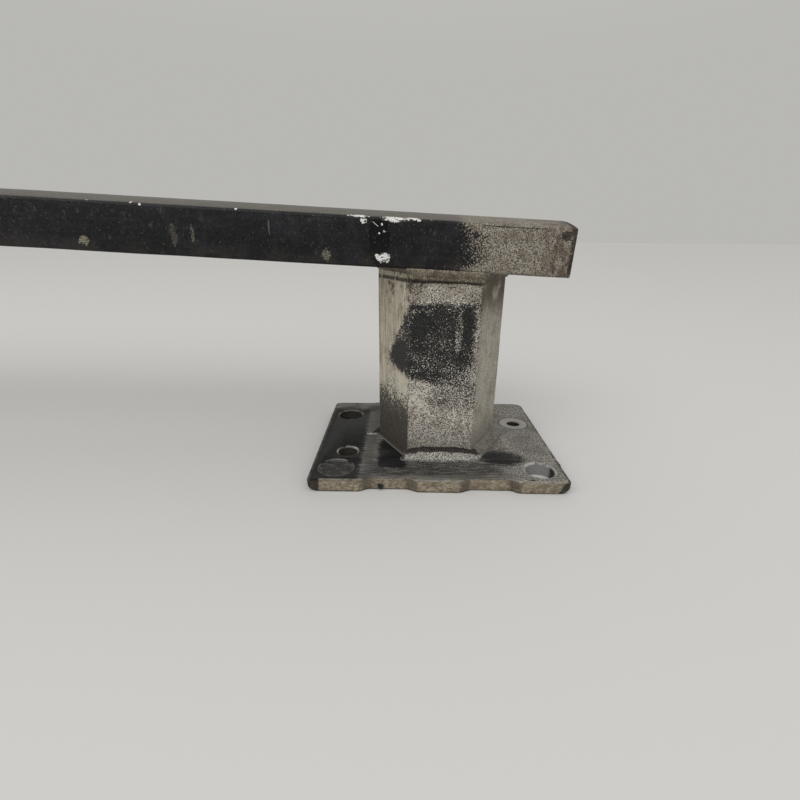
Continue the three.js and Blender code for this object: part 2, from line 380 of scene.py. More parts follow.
def plate_outline(z):
    """Outline of the plate at height z, anticlockwise from its inner front corner, as (out, y)."""
    x, y = PLATE_WIDTH / 2, PLATE_DEPTH / 2
    share = min(z / PLATE_TOP, 1)
    corner = CORNER_CUT + (CORNER_ROLL - CORNER_CUT) * max(1 - 1.9 * share, 0) ** 1.6
    burr = BURR * share
    left, right = -x + corner, x - corner
    points = arc(left, -y + corner, corner, math.pi, 1.5 * math.pi, 8)
    points += [(out, front_edge(out)) for out in spaced(left, right, 96)[1:-1]]
    points += arc(right, -y + corner, corner, 1.5 * math.pi, 2 * math.pi, 8)
    points += [(x + share * burr, BURR_Y + back) for share, back in BURR_PROFILE]
    points += arc(x - BACK_CORNER, y - BACK_CORNER, BACK_CORNER, 0, math.pi / 2, 8)
    points += [(out, back_edge(out)) for out in spaced(x - BACK_OUTER_FLAT, -x + BACK_INNER_CUT[0][0], 40)]
    points += [(-x + across, y - down) for across, down in BACK_INNER_CUT[1:]]
    return points


def inset_loop(points, distance):
    """The loop moved inwards, each point along the mean of its two edges' normals."""
    moved = []
    count = len(points)
    for i, (x, y) in enumerate(points):
        before, after = points[i - 1], points[(i + 1) % count]
        normal = Vector((before[1] - after[1], after[0] - before[0])).normalized()
        moved.append((x + normal.x * distance, y + normal.y * distance))
    return moved


def build_plate(side, material):
    """Thick plate with broken edges, a scalloped front edge and chamfered holes."""
    edge = 0.0006
    lump_size, lump = 0.004, 0.00018
    seed = 3 + SIDES.index(side) * 7
    vertices, faces = [], []

    def placed(points, z):
        ring = []
        for out, y in points:
            rough = lump * wobble((out, y, z), lump_size, seed)
            ring.append(foot_point(side, out + rough, y + rough, z))
        return ring

    levels = [(0, edge), (0.25 * edge, 0.3 * edge), (edge, 0)]
    profile = levels + [(share * PLATE_TOP, 0) for share in (0.17, 0.34, 0.54)]
    profile += [(PLATE_TOP - z, inset) for z, inset in reversed(levels)]
    rings = [placed(inset_loop(plate_outline(z), inset), z) for z, inset in profile]
    ends = [[], []]
    add_sleeve(vertices, faces, rings, ends)

    hole_sides = 48
    for out, y, radius, mouth in HOLES.values():
        spread = [(0, 0.5 * mouth), (0.5 * mouth, 0), (PLATE_TOP - 0.8 * mouth, 0)]
        spread += [(PLATE_TOP - 0.25 * mouth, 0.65 * mouth), (PLATE_TOP, mouth)]
        rings = [placed(circle(out, y, radius + wider, hole_sides), z) for z, wider in spread]
        add_sleeve(vertices, faces, rings, ends)
    for loops in ends:
        add_cap(vertices, faces, loops)
    make_piece(f"plate_skin_{side}", vertices, faces, material, f"mount_plate_{side}")


def build_plug(side, material):
    """The filled hole: a rough disc just under the plate's top, with a sunk ring round it."""
    out, y, radius, _ = HOLES["plugged"]
    seed = 11 + SIDES.index(side) * 4
    rings_count, spokes = 16, 56
    thickness = 0.0074
    sunk = 0.0008
    top = PLATE_TOP - sunk

    def ring(share, z, rough):
        points = []
        for spot in circle(out, y, share * radius, spokes):
            lump = wobble((*spot, 0), 0.004, seed) * 0.0005 + wobble((*spot, 0), 0.0016, seed) * 0.0002
            points.append(foot_point(side, *spot, z + rough * lump))
        return points

    rings = [ring(0.02, top - thickness, 0), ring(1, top - thickness, 0), ring(1, top - sunk, 0)]
    for i in range(rings_count):
        share = 1 - 0.98 * i / (rings_count - 1)
        groove = 0.0006 * math.exp(-((share - 0.9) / 0.05) ** 2)
        rings.append(ring(share, top - groove - 0.0003 * (1 - share), 1))
    vertices, faces = [], []
    add_solid(vertices, faces, rings)
    make_piece(f"plug_skin_{side}", vertices, faces, material, f"hole_plug_{side}")


# ---- weld runs

# Reach along the plate or beam, rise along the can, height of the lumps
PLATE_WELDS = {
    "front": (0.0084, 0.008, 0.0006),
    "outer_front": (0.0072, 0.007, 0.0005),
    "outer_back": (0.0065, 0.0065, 0.0005),
    "back": (0.0072, 0.007, 0.0006),
    "inner_back": (0.005, 0.005, 0.0004),
    "inner_front": (0.0024, 0.0022, 0.0001),
}
BEAM_WELDS = {
    "front": (0.0036, 0.0075, 0.0005),
    "outer_front": (0.004, 0.0046, 0.0004),
    "outer_back": (0.004, 0.0046, 0.0004),
    "back": (0.0036, 0.0075, 0.0005),
    "inner_back": (0.0034, 0.0036, 0.0003),
    "inner_front": (0.0034, 0.0036, 0.0003),
}
WELD_STATIONS = 90
WELD_SINK = 0.0006
RIPPLE_PITCH = 0.0024

# Spatter beads: middle (out, y) of a cluster, its spread either way, number of beads
SPATTER = (
    (-0.0475, 0.001, 0.004, 0.0022, 12),
    (0.049, -0.004, 0.006, 0.008, 22),
    (0.02, 0.05, 0.03, 0.004, 10),
)

# Lumps of the sealant crumb: out, distance down, radius
CRUMBS = (
    (-0.0385, 0.0012, 0.0013),
    (-0.0368, 0.0016, 0.0012),
    (-0.0377, 0.003, 0.001),
)


def weld_section(reach, rise):
    """Section of a run as (distance from the can, height), with its two sunk feet first and last."""
    face_points = 9
    section = [(-WELD_SINK, -WELD_SINK), (reach * 0.9, -WELD_SINK)]
    for turn in spaced(0, math.pi / 2, face_points):
        swell = 0.72 + 0.28 * abs(math.cos(2 * turn))
        section.append((reach * math.cos(turn) * swell, rise * math.sin(turn) * swell))
    section.append((-WELD_SINK, rise * 0.9))
    return section


def weld_lumps(spot, height, length, seed):
    """Ripples along a run and lumps over it, about 1 at the most."""
    phase = 2 * math.pi * length / RIPPLE_PITCH + 2 * wobble((*spot, 0), 0.004, seed)
    lumps = wobble((*spot, height), 0.0045, seed) + 0.5 * wobble((*spot, height), 0.0018, seed)
    return 0.25 * math.sin(phase) + lumps


def build_weld(side, facet, base, size, material):
    """A lumpy weld run along one facet, on the plate (base "plate") or under the beam (base "beam")."""
    reach, rise, lump = size
    direction = math.radians(FACETS[facet])
    outward = Vector((math.cos(direction), math.sin(direction)))
    along_facet = Vector((-outward.y, outward.x))
    seed = 20 + list(FACETS).index(facet) * 3.1 + SIDES.index(side) * 17 + 50 * (base == "beam")
    overlap = 0.0007
    lens = 0.28 if (base, facet) == ("plate", "front") else 0
    section = weld_section(reach, rise)

    def place(k, share, taper):
        distance, height = section[k]
        length = share * (CAN_SIDE / 2 + distance * math.tan(HEX_HALF_TURN) + overlap)
        spot = outward * (CAN_APOTHEM + distance) + along_facet * length
        if 2 <= k < len(section) - 1:
            bump = lump * weld_lumps(spot, height, length, seed)
            distance = max(distance * taper + bump, -WELD_SINK)
            height = height * taper + bump
            spot = outward * (CAN_APOTHEM + distance) + along_facet * length
        out, y = CAN_OUT + spot.x, CAN_Y + spot.y
        z = PLATE_TOP + height if base == "plate" else underside(out) - height
        return foot_point(side, out, y, z)

    rings = []
    for share in spaced(-1, 1, WELD_STATIONS):
        taper = 1 - 0.25 * soft_step(abs(share), 0.93, 1) - lens * abs(share) ** 3
        rings.append([place(k, share, taper) for k in range(len(section))])
    vertices, faces = [], []
    add_solid(vertices, faces, rings)
    node = f"{base}_weld_{facet}_{side}"
    make_piece(f"run_{node}", vertices, faces, material, node)


def build_spatter(side, material):
    """Small beads of weld metal thrown onto the plate beside the runs."""
    rng = random.Random(41 + SIDES.index(side))
    sides = 8
    vertices, faces = [], []
    for out, y, spread_out, spread_y, count in SPATTER:
        for _ in range(count):
            centre = (out + rng.gauss(0, spread_out / 2), y + rng.gauss(0, spread_y / 2))
            radius = rng.uniform(0.00025, 0.0007)
            squash = rng.uniform(0.5, 0.9)
            rings = []
            for level in range(4):
                tilt = math.pi / 2 * level / 3.4
                z = PLATE_TOP - 0.0001 + radius * squash * math.sin(tilt)
                flat = circle(*centre, radius * math.cos(tilt), sides)
                rings.append([foot_point(side, *spot, z) for spot in flat])
            add_solid(vertices, faces, rings)
    make_piece(f"weld_spatter_{side}", vertices, faces, material)


def build_crumb(material):
    """Crumb of black sealant that hangs from the front lower edge of the right-hand plate."""
    rng = random.Random(7)
    sides, levels = 10, 8
    vertices, faces = [], []
    for out, down, radius in CRUMBS:
        rings = []
        centre_y = front_edge(out) - 0.0006
        for level in range(1, levels):
            tilt = math.pi * (level / levels - 0.5)
            ring = []
            for i in range(sides):
                angle = 2 * math.pi * i / sides
                rough = radius * rng.uniform(0.75, 1.25)
                flat = rough * math.cos(tilt)
                z = max(0.0045 - down + rough * math.sin(tilt), 0.0001)
                spot = (out + flat * math.cos(angle), centre_y + flat * math.sin(angle))
                ring.append(foot_point("right", *spot, z))
            rings.append(ring)
        add_solid(vertices, faces, rings)
    make_piece("sealant_crumb", vertices, faces, material)


# ---- shaders

def display_colour(red, green, blue):
    """Linear colour from 0-255 display values."""
    def linear(value):
        value /= 255
        return value / 12.92 if value <= 0.04045 else ((value + 0.055) / 1.055) ** 2.4
    return (linear(red), linear(green), linear(blue), 1)


class Value:
    """A number or colour that varies from place to place, worked out by nodes and used like a plain one."""

    def __init__(self, nodes, socket):
        self.nodes = nodes
        self.socket = socket

    def __add__(self, other):
        return self.nodes.math("ADD", self, other)

    def __sub__(self, other):
        return self.nodes.math("SUBTRACT", self, other)

    def __rsub__(self, other):
        return self.nodes.math("SUBTRACT", other, self)

    def __mul__(self, other):
        return self.nodes.math("MULTIPLY", self, other)

    def __truediv__(self, other):
        return self.nodes.math("DIVIDE", self, other)

    def fade(self, low, high):
        """0 at low, 1 at high, smooth between; low may be the larger."""
        node = self.nodes.new("MapRange")
        node.interpolation_type = "SMOOTHSTEP"
        return self.nodes.wire(node, {"Value": self, "From Min": low, "From Max": high})

    def band(self, low, high, soft):
        """1 between low and high, fading over `soft` outside them."""
        return self.fade(low - soft, low) * self.fade(high + soft, high)

    def cover(self, amount, colour):
        """This colour with another laid over it, wholly where `amount` is 1."""
        return self.nodes.mix(amount, self, colour)


class Nodes:
    """A node tree written as sums and mixes. Colours of three numbers are 0-255 display values."""

    def __init__(self, tree):
        self.tree = tree

    def new(self, kind):
        return self.tree.nodes.new("ShaderNode" + kind)

    def feed(self, socket, value):
        if isinstance(value, Value):
            self.tree.links.new(value.socket, socket)
        elif isinstance(value, tuple) and len(value) == 3:
            socket.default_value = display_colour(*value)
        else:
            socket.default_value = value

    def wire(self, node, inputs, output=0):
        """Feeds a node's inputs, by name or number, and returns its output."""
        for key, value in inputs.items():
            self.feed(node.inputs[key], value)
        return Value(self, node.outputs[output])

    def split(self, coordinates):
        """X, Y and Z of some coordinates."""
        node = self.new("SeparateXYZ")
        self.tree.links.new(coordinates, node.inputs[0])
        return [Value(self, socket) for socket in node.outputs]

    def math(self, operation, *values):
        node = self.new("Math")
        node.operation = operation
        return self.wire(node, dict(enumerate(values)))

    def mix(self, factor, first, second):
        """Colour that goes from first to second as factor goes from 0 to 1."""
        node = self.new("Mix")
        node.data_type = "RGBA"
        return self.wire(node, {"Factor": factor, 6: first, 7: second}, 2)

    def blend(self, factor, first, second):
        """Number that goes from first to second as factor goes from 0 to 1."""
        return self.wire(self.new("Mix"), {"Factor": factor, 2: first, 3: second})


class Shader(Nodes):
    """A procedural material, measured in millimetres."""

    def __init__(self, name, specular):
        self.material = bpy.data.materials.new(name)
        self.material.use_nodes = True
        super().__init__(self.material.node_tree)
        self.tree.nodes.clear()
        self.surface = self.new("BsdfPrincipled")
        self.surface.inputs["Specular IOR Level"].default_value = specular
        self.tree.links.new(self.surface.outputs[0], self.new("OutputMaterial").inputs["Surface"])
        scaled = self.new("VectorMath")
        scaled.operation = "SCALE"
        scaled.inputs["Scale"].default_value = 1 / MM
        self.tree.links.new(self.new("TexCoord").outputs["Object"], scaled.inputs[0])
        self.place = scaled.outputs[0]
        self.x, self.y, self.z = self.split(self.place)
        self.out = self.math("ABSOLUTE", self.x) - FOOT_X / MM
        self.right = self.math("GREATER_THAN", self.x, 0)

    def most(self, *values):
        return reduce(partial(self.math, "MAXIMUM"), values)

    def least(self, *values):
        return reduce(partial(self.math, "MINIMUM"), values)

    def noise(self, size, detail, stretch=(1, 1, 1), seed=0):
        """Cloud noise from 0 to 1 with lumps of about `size`, longer along an axis by its stretch."""
        mapping = self.new("Mapping")
        mapping.inputs["Scale"].default_value = [1 / (size * s) for s in stretch]
        mapping.inputs["Location"].default_value = (seed, 1.7 * seed, -2.3 * seed)
        self.tree.links.new(self.place, mapping.inputs["Vector"])
        texture = self.new("TexNoise")
        self.tree.links.new(mapping.outputs[0], texture.inputs["Vector"])
        return self.wire(texture, {"Scale": 1, "Detail": detail, "Roughness": 0.55})

    def specks(self, density, size, seed, sharp=0.03):
        """Fine speckle that covers more of the surface as `density` goes from 0 to 1."""
        level = self.noise(size, 1.5, seed=seed) + (density - 0.5) * 0.62
        return level.fade(0.5 - sharp, 0.5 + sharp)

    def blob(self, centre, radii, up, ragged, size, seed):
        """1 inside a ragged ellipsoid given by (out, y, up); `up` is the height that it goes by."""
        total = 0
        for value, middle, radius in zip((self.out, self.y, up), centre, radii):
            offset = (value - middle) / radius
            total = offset * offset + total
        distance = self.math("SQRT", total) + (self.noise(size, 3, seed=seed) - 0.5) * ragged
        return distance.fade(1.08, 0.94)

    def bump(self, height, distance):
        """Surface relief; `height` is in units of `distance` millimetres."""
        relief = self.wire(self.new("Bump"), {"Strength": 1, "Distance": distance * MM, "Height": height})
        self.feed(self.surface.inputs["Normal"], relief)

    def finish(self, colour, roughness, metallic):
        self.wire(self.surface, {"Base Color": colour, "Roughness": roughness, "Metallic": metallic})
        return self.material


# ---- material of the beam

BEAM_FRONT = (CAN_Y - BEAM_WIDTH / 2) / MM

# Chips down to bright metal: (out, height), (half width, half height), raggedness, size of its lumps
CHIPS = (
    ((-50.5, 28.5), (5.8, 0.9), 2.2, 1.5),
    ((-47.9, 25.7), (1.9, 1.4), 2.2, 1.2),
    ((-30.4, 27.8), (6.3, 1.8), 2, 1.3),
    ((-18.9, 28.9), (5, 1.6), 2.6, 1.2),
    ((-36.7, 5.9), (4.2, 2.6), 1.6, 1.3),
    ((-37.2, 24.3), (0.6, 0.6), 1.2, 0.9),
    ((-35.9, 20.7), (0.6, 0.6), 1, 0.9),
    ((-38.8, 19.4), (0.5, 0.5), 1, 0.9),
    ((-122, 28.2), (0.8, 0.6), 0.8, 0.9),
    ((-183, 28.6), (0.8, 0.6), 0.8, 0.9),
    ((-177.5, 27.6), (0.9, 0.6), 1.2, 0.9),
)
CHIP_SEED = 40

# Smears of dry dirt: the same values, then how strong each is
SMEARS = (
    ((-214, 6.2), (3.2, 2.4), 2, 1.4, 1),
    ((-70.5, 5.6), (2.6, 3.2), 2.4, 1.4, 0.7),
    ((-103.5, 19), (0.4, 4), 1.6, 1.2, 0.6),
    ((-149, 13), (1, 5), 2, 2, 0.4),
    ((-160, 12), (1.6, 6), 2, 3, 0.25),
)
SMEAR_SEED = 52


def height_above_underside(s):
    """Height above the beam's underside, which is bowed in the middle and straight at the ends."""
    along = s.math("ABSOLUTE", s.x)
    bowed = s.least(along, BOW_CHORD / MM)
    sag = bowed * bowed * (0.5 * MM / BOW_RADIUS)
    fall = (along - bowed) * math.tan(END_SLOPE)
    return s.z + sag + fall - BEAM_MIDDLE / MM


def front_mark(s, centre, radii, ragged, size, seed, deep=3.5):
    """A ragged mark on the beam's front face, from its (out, height) centre."""
    (out, height), (wide, tall) = centre, radii
    return s.blob((out, BEAM_FRONT, height), (wide, deep, tall), s.up, ragged, size, seed)


def beam_bareness(s):
    """Bare metal starts over the can and covers the end, sooner along the two edges than between them."""
    start, reach, reach_between = 3, 14, 20
    spread = s.up.band(8, 20, 8) * reach_between + reach
    progress = (s.out - start) / spread + (s.broad - 0.5) * 0.35
    return s.specks(progress, 0.8, seed=8, sharp=0.05)


def beam_chips(s):
    """Chips on the right, one fine scratch between them, and small nicks along both front upper edges."""
    strokes = s.noise(0.8, 2, stretch=(2.4, 1, 1), seed=35)
    chips = 0
    for number, (centre, radii, ragged, size) in enumerate(CHIPS):
        chips = s.most(chips, front_mark(s, centre, radii, ragged, size, CHIP_SEED + number))
    scratch = s.math("ABSOLUTE", s.out * 0.75 + s.up + 6.4).fade(0.3, 0.1)
    scratch = scratch * s.out.band(-42.3, -39.6, 0.4) * s.y.fade(BEAM_FRONT + 2, BEAM_FRONT + 1)
    chips = s.most(chips * strokes.fade(0.36, 0.46), scratch) * s.right
    nicks = s.noise(2.6, 3, stretch=(2, 1, 1), seed=12).fade(0.66, 0.7)
    nicks = s.up.band(27.4, 28.8, 0.4) * nicks * s.out.fade(8, 2)
    return s.most(chips, nicks * s.cloud.fade(0.52, 0.58) * strokes.fade(0.4, 0.5))


def beam_smears(s):
    smears = 0
    for number, (centre, radii, ragged, size, strength) in enumerate(SMEARS):
        smear = front_mark(s, centre, radii, ragged, size, SMEAR_SEED + number, 3)
        smears = s.most(smears, smear * strength)
    return smears * s.right * s.grain.fade(0.3, 0.62) * 0.8


def beam_paint(s, deep):
    """Near black, faintly clouded and streaked, with dust, smears, one deep glossy run, and a grey film on
    the top face that is partly dust and partly painted sheen.
    """
    paint = s.mix(s.grain.fade(0.36, 0.66), (3, 3, 4), (26, 26, 29))
    paint = paint.cover(s.streaks.fade(0.45, 0.75) * 0.4, (38, 38, 42))
    smudge = s.noise(9, 3, stretch=(0.7, 1, 1.6), seed=37).fade(0.5, 0.66)
    paint = paint.cover(smudge * 0.5, (36, 34, 40))
    scuffs = s.cloud.fade(0.54, 0.7) * s.noise(1.3, 3, stretch=(1, 1, 4), seed=22).fade(0.45, 0.65)
    paint = paint.cover(scuffs * 0.5, (76, 75, 76))
    low_haze = s.up.fade(10, 1) * s.broad.fade(0.42, 0.6)
    paint = paint.cover(low_haze * 0.4, (56, 51, 44))
    thin = s.out.fade(4, 34) * 0.3 * s.grain.fade(0.3, 0.6)
    paint = paint.cover(thin, (82, 78, 71))
    # Painted sheen: the top face is lightened with a grey film, partly dust and partly the light that the
    # black paint catches there.
    sheen_and_dust_pattern = (s.broad * 0.4 + s.streaks).fade(0.45, 0.95)
    top_dust_and_sheen = s.up.fade(28, 29) * s.blend(sheen_and_dust_pattern, 0.46, 0.64)
    paint = paint.cover(top_dust_and_sheen, s.mix(s.grain.fade(0.3, 0.7), (72, 67, 59), (134, 127, 115)))
    paint = paint.cover(deep * 0.9, (3, 3, 4))
    dust = s.noise(0.8, 1, seed=21).fade(0.7, 0.76)
    paint = paint.cover(dust * 0.3, (150, 147, 138))
    return paint.cover(beam_smears(s), (150, 144, 126))


def beam_metal(s):
    """Grey-beige and pitted, with brown stains, a fine dark line below the upper edge and a dark far edge.
    """
    metal = s.mix(s.grain.fade(0.34, 0.66), (78, 73, 66), (170, 163, 151))
    stain = s.noise(8, 4, seed=14).fade(0.48, 0.66)
    metal = metal.cover(stain * 0.5, (106, 91, 75))
    rust = s.out.fade(54, 66) * s.noise(5, 3, stretch=(0.7, 1, 1.8), seed=44).fade(0.4, 0.6)
    metal = metal.cover(rust * 0.6, (78, 62, 50))
    corner = front_mark(s, (71.5, 24), (3.4, 2.6), 2.6, 1.8, 15, 9)
    rim = s.out.fade(73.4, 75) * s.cloud.fade(0.3, 0.48)
    metal = metal.cover(s.most(corner, rim) * 0.8, (44, 35, 29))
    # Darker along a fine line where the upper edge's rounding starts.
    fine_dark_line = s.out.band(23, 58, 1.5) * s.up.band(26.75, 27.05, 0.3)
    fine_dark_line = fine_dark_line * s.y.fade(BEAM_FRONT + 3, BEAM_FRONT + 1)
    metal = metal.cover(fine_dark_line * 0.8, (36, 30, 26))
    run = s.out.band(65.3, 65.6, 0.4) * s.up.band(3, 17, 2) * s.cloud.fade(0.4, 0.6)
    metal = metal.cover(run * 0.7, (44, 34, 28))
    pits = s.specks(s.cloud.fade(0.4, 0.7) * 0.2 + 0.2, 0.9, seed=17)
    return metal.cover(pits * 0.85, (40, 35, 30))


def beam_material():
    """Satin black paint, worn to bare aluminium towards each end, with chips along the front upper edge."""
    s = Shader("beam_worn_paint", 0.2)
    s.up = height_above_underside(s)
    s.broad = s.noise(15, 3)
    s.cloud = s.noise(5, 4, seed=31)
    s.grain = s.noise(0.64, 2, seed=3)
    s.streaks = s.noise(2.2, 3, stretch=(9, 1, 1), seed=5)
    bare = beam_bareness(s)
    chips = beam_chips(s)
    deep = s.right * front_mark(s, (-39, 16), (6.2, 13), 1.3, 4, 9)
    colour = s.mix(bare, beam_paint(s, deep), beam_metal(s))
    colour = colour.cover(chips, s.mix(s.grain, (190, 188, 184), (246, 245, 242)))
    rough = s.blend(bare, s.blend(s.broad, 0.34, 0.52), 0.6)
    rough = s.blend(deep * (1 - chips), rough, 0.2)
    s.bump(bare * -0.8 + bare * s.grain * 0.8 + chips * -1 + s.streaks * 0.3, 0.12)
    return s.finish(colour, rough, bare * 0.4)


# ---- material of the cans

INNER_CORNER = (CAN_OUT - CAN_SIDE / 2) / MM
OUTER_CORNER = (CAN_OUT + CAN_SIDE / 2) / MM
CAN_MIDDLE_Y = CAN_Y / MM
CAN_FRONT = -36.4

# Leftover paint on the front of the can, unrolled: where its four sides lie, in millimetres
PATCH_TOP = 117
PATCH_LOW = 62
PATCH_LOW_RISE = 0.209
PATCH_OUTER = 22.5
PATCH_SLANT_START = 22
PATCH_SLANT = (0.849, -0.528)


def place_on_can(s):
    """Sets the distance round the can, unrolled from its front facet, and which facets are which."""
    s.around = s.out + s.least(s.out - INNER_CORNER, 0) + s.most(s.out - OUTER_CORNER, 0)
    s.front_half = s.y.fade(CAN_MIDDLE_Y + 2, CAN_MIDDLE_Y - 2)
    s.on_front = s.y.fade(-34.5, -35.8)
    s.on_inner = s.out.fade(INNER_CORNER + 0.2, INNER_CORNER - 0.8) * s.front_half
    s.on_outer = s.out.fade(OUTER_CORNER - 0.2, OUTER_CORNER + 0.8) * s.front_half


def can_metal(s):
    """Olive on the inner facet, beige in front, greyer on the outer facet."""
    metal = s.mix(s.lines.fade(0.3, 0.7), (152, 145, 127), (218, 209, 190))
    metal = metal.cover(s.on_front, s.mix(s.grain.fade(0.36, 0.64), (94, 90, 84), (210, 204, 194)))
    metal = metal.cover(s.on_outer * 0.6, s.mix(s.grain.fade(0.3, 0.7), (96, 94, 88), (186, 182, 174)))
    metal = metal.cover(s.broad.fade(0.45, 0.65) * 0.3, (122, 108, 90))
    collar = s.on_front * s.z.band(119, 129, 2) * s.broad.fade(0.3, 0.5) * 0.6
    metal = metal.cover(collar, (140, 131, 118))
    bright = s.grain.fade(0.56, 0.64) * s.cloud.fade(0.42, 0.6) * (1 - collar) * 0.5
    metal = metal.cover(bright, (226, 222, 212))
    flakes = s.z.band(46, 64, 6) * s.around.band(-48, -8, 5) * s.cloud.fade(0.38, 0.54)
    return metal.cover(flakes * 0.75, (208, 203, 190))


def stain_can(s, metal):
    """Heat tint and painted shade from the beam browning the tops of the side facets, a burnt spot by the
    upper weld and a dark line along its foot, partly soot and partly painted shadow, a grey film behind, a
    greyer foot, and pits.
    """
    # Painted shade: the tops of the side facets under the beam are browned, partly heat tint and partly the
    # beam's shade.
    brown_tint = s.z.fade(100, 122) * s.most(s.on_outer, s.on_inner * s.cloud.fade(0.52, 0.64))
    metal = metal.cover(brown_tint * s.broad.fade(0.3, 0.5) * 0.85, (80, 66, 52))
    burnt = s.blob((-20.5, -36, 131), (3, 5, 8), s.z, 1.6, 3, 66)
    # Painted shadow: a dark line along the foot of the upper weld, partly soot and partly the bead's shadow.
    shadow_and_soot_line = s.z.band(128.9, 130.4, 0.9) * s.cloud.fade(0.34, 0.44) * (1 - s.on_outer) * s.front_half
    metal = metal.cover(s.most(shadow_and_soot_line, burnt * 0.7) * 0.85, (38, 29, 22))
    metal = metal.cover((1 - s.front_half) * s.cloud.fade(0.36, 0.6) * 0.45, (118, 112, 102))
    metal = metal.cover(s.z.fade(40, 12) * 0.4, (92, 89, 86))
    crowd = s.z.fade(20, 56) * s.on_front * 0.14
    pits = s.specks(crowd + 0.19 + s.broad.fade(0.4, 0.7) * 0.14, 0.9, seed=9)
    return metal.cover(pits * 0.95, (32, 29, 26))


def paint_cover(s, back_half):
    """How much paint is left inside the patch, from place to place."""
    solid = s.most(
        s.blob((-13.4, CAN_FRONT, 101.5), (5, 9, 11.5), s.z, 2.2, 3, 61),
        s.blob((16.8, CAN_FRONT, 103), (2.6, 9, 12), s.z, 1.6, 3, 62),
        s.blob((-27, -26, 80), (7, 16, 10), s.z, 2.4, 4, 63) * 0.7,
    )
    thin = s.blob((11.6, CAN_FRONT, 99), (2.4, 9, 15), s.z, 1.6, 3, 64)
    spot = s.blob((-15.8, CAN_FRONT, 111), (2.2, 9, 2), s.z, 2, 1.6, 65)
    cover = solid * 0.42 + 0.69 + thin * -0.18 + spot * -0.4
    cover = cover + s.z.fade(84, 62) * s.around.fade(-14, 20) * -0.2
    return cover + (s.broad - 0.5) * 0.5 + back_half * -0.14


def leftover_paint(s):
    """Paint left on the front and the back: a patch with a slanting inner side, and specks beyond it."""
    back_half = 1 - s.front_half
    top = PATCH_TOP - s.z - back_half * 16
    slant = (s.around + PATCH_SLANT_START) * PATCH_SLANT[0] + (s.z - PATCH_TOP) * PATCH_SLANT[1]
    lower = s.z - PATCH_LOW + s.around * PATCH_LOW_RISE
    depth = s.least(top, slant, lower, PATCH_OUTER - s.around)
    inside = (depth + s.jitter).fade(-3, 3)
    fringe = s.on_front * s.z.band(50, 62, 9) * s.around.fade(-16, 2) * 0.42
    spill = s.on_outer * s.z.band(66, 104, 14) * s.out.fade(OUTER_CORNER + 6, OUTER_CORNER) * 0.42
    density = s.most(inside * paint_cover(s, back_half), fringe, spill)
    return s.specks(density, 0.9, seed=19, sharp=0.04)


def can_material():
    """Dull aluminium with extrusion lines, a ragged patch of leftover black paint and a dark foot."""
    s = Shader("can_stained_metal", 0.25)
    s.lines = s.noise(0.8, 3, stretch=(1, 1, 22), seed=2)
    s.grain = s.noise(0.75, 2, seed=4)
    s.broad = s.noise(13, 3, seed=6)
    s.cloud = s.noise(5, 4, seed=16)
    s.jitter = (s.cloud - 0.5) * 10 + (s.grain - 0.5) * 5
    place_on_can(s)
    black = leftover_paint(s)
    rise = (s.z + s.jitter * 1.3).fade(64, 26)
    dark_foot = s.specks(s.math("SQRT", rise) * 0.9, 1.3, seed=23, sharp=0.05) * s.on_inner
    colour = stain_can(s, can_metal(s))
    colour = colour.cover(dark_foot * 0.94, s.mix(s.grain.fade(0.34, 0.66), (32, 29, 27), (78, 72, 67)))
    colour = colour.cover(black, s.mix(s.grain.fade(0.4, 0.7), (14, 14, 16), (56, 55, 54)))
    s.bump(s.lines * 0.35 + s.grain * 0.8 + black * 0.6, 0.11)
    return s.finish(colour, s.blend(black, 0.6, 0.45), (1 - s.most(black, dark_foot)) * 0.3)


# ---- material of the plates

# Bright rims of the open holes: how far each reaches over the plate, and how strong it is
RIMS = {
    "inner_back": (0.8, 0.5),
    "inner_middle": (1, 0.9),
    "outer_front": (1.5, 1),
}
# Middles of the scallops' ramps, as out, where the front edge is darker
SCALLOP_RAMP_MARKS = (-47, -17.5, 17, 50)
WASHER_REACH = 6.4


def distance_to_hole(s, name):
    """Distance out from a hole's wall over the plate, below 0 inside the hole."""
    out, y, radius, _ = (value / MM for value in HOLES[name])
    across = s.out - out
    along = s.y - y
    return s.math("SQRT", across * across + along * along) - radius


def plate_grey(s):
    """Worn top face, lighter and grittier towards the outer edge."""
    outer = s.out.fade(34, 58)
    grey = s.mix(s.brushed.fade(0.3, 0.7), (84, 82, 79), (134, 131, 125))
    grit = s.mix(s.noise(1, 2, seed=33).fade(0.36, 0.64), (68, 66, 62), (182, 178, 170))
    grey = grey.cover(outer * 0.8, grit)
    grey = grey.cover(s.broad.fade(0.46, 0.64) * 0.35, (78, 71, 63))
    return grey.cover(s.specks(outer * 0.08 + 0.24, 1.2, seed=12) * 0.7, (38, 36, 34))


def plate_painted(s):
    """Paint that is left: the inner side, a wedge beside the can, a patch by the outer front hole."""
    inner_side = (s.out + s.jitter * 0.4).fade(-47.5, -56) * (s.y + s.jitter).fade(62, 44)
    wedge = (s.out + s.jitter * 0.4).band(-37, -24, 8) * s.y.band(-50, -14, 8)
    patch_out = (s.out + s.jitter - 46) * (1 / 17)
    patch_y = (s.y + s.jitter * 0.6 + 38) * (1 / 12)
    outer_patch = (patch_out * patch_out + patch_y * patch_y).fade(1.7, 0.1)
    front_band = s.y.band(-60, -46, 6) * s.out.band(-44, 40, 10)
    behind = s.y.fade(10, 22) * s.broad.fade(0.44, 0.58) * s.out.fade(60, 44)
    left_over = s.most(inner_side, wedge, outer_patch * 0.9, front_band * 0.5, behind * 0.5)
    worn = s.brushed.fade(0.35, 0.75) * 0.3
    return s.specks(left_over * 1.26 - worn, 1, seed=14, sharp=0.3)


